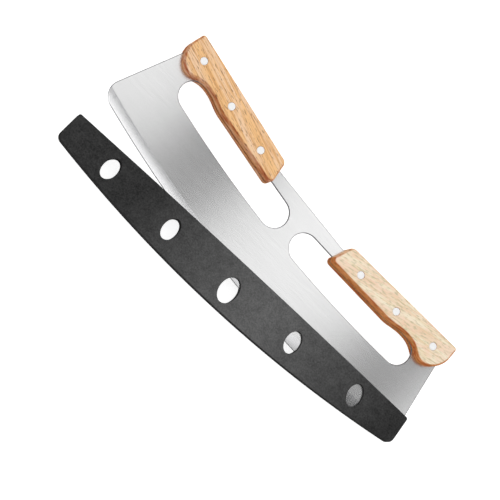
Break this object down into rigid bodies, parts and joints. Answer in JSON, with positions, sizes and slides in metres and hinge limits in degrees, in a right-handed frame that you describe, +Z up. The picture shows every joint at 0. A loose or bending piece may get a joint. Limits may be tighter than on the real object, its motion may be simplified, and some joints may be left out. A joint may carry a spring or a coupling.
{
  "type": "pizza knife",
  "caption": "Rocker knife for pizza: a long curved steel blade with a riveted wooden handle at each end of its back, and a slotted black cover drawn partly off its edge.",
  "frame": {"origin": "under the middle of the knife with its cover, on the surface that the back of the handles lies on", "axes": "+X along the blade towards the right handle, +Y from the cutting edge towards the handles, +Z up through the thickness, from the back scales to the front scales"},
  "size_m": [0.3436, 0.1382, 0.017],
  "materials": {
    "steel": "finely brushed along the blade, with a ground edge",
    "rivet_steel": "fine satin, flush with the wood",
    "left_wood": "oiled, warm tan",
    "right_wood": "oiled, pale cream",
    "black_plastic": "fine pebbled grain"
  },
  "bodies": {
    "knife": {"blade": "steel", "left_handle_front_scale": "left_wood", "left_handle_back_scale": "left_wood", "right_handle_front_scale": "right_wood", "right_handle_back_scale": "right_wood", "left_rivet_1_pin_half": "rivet_steel", "left_rivet_1_tube_half": "rivet_steel", "left_rivet_2_pin_half": "rivet_steel", "left_rivet_2_tube_half": "rivet_steel", "left_rivet_3_pin_half": "rivet_steel", "left_rivet_3_tube_half": "rivet_steel", "right_rivet_1_pin_half": "rivet_steel", "right_rivet_1_tube_half": "rivet_steel", "right_rivet_2_pin_half": "rivet_steel", "right_rivet_2_tube_half": "rivet_steel", "right_rivet_3_pin_half": "rivet_steel", "right_rivet_3_tube_half": "rivet_steel"},
    "cover": {"blade_cover": "black_plastic"}
  },
  "joints": [
    {"name": "cover_pull_off", "type": "slide", "parent": "knife", "child": "cover", "axis": [0.2588, -0.9659, 0], "range_m": [0, 0.06]}
  ]
}
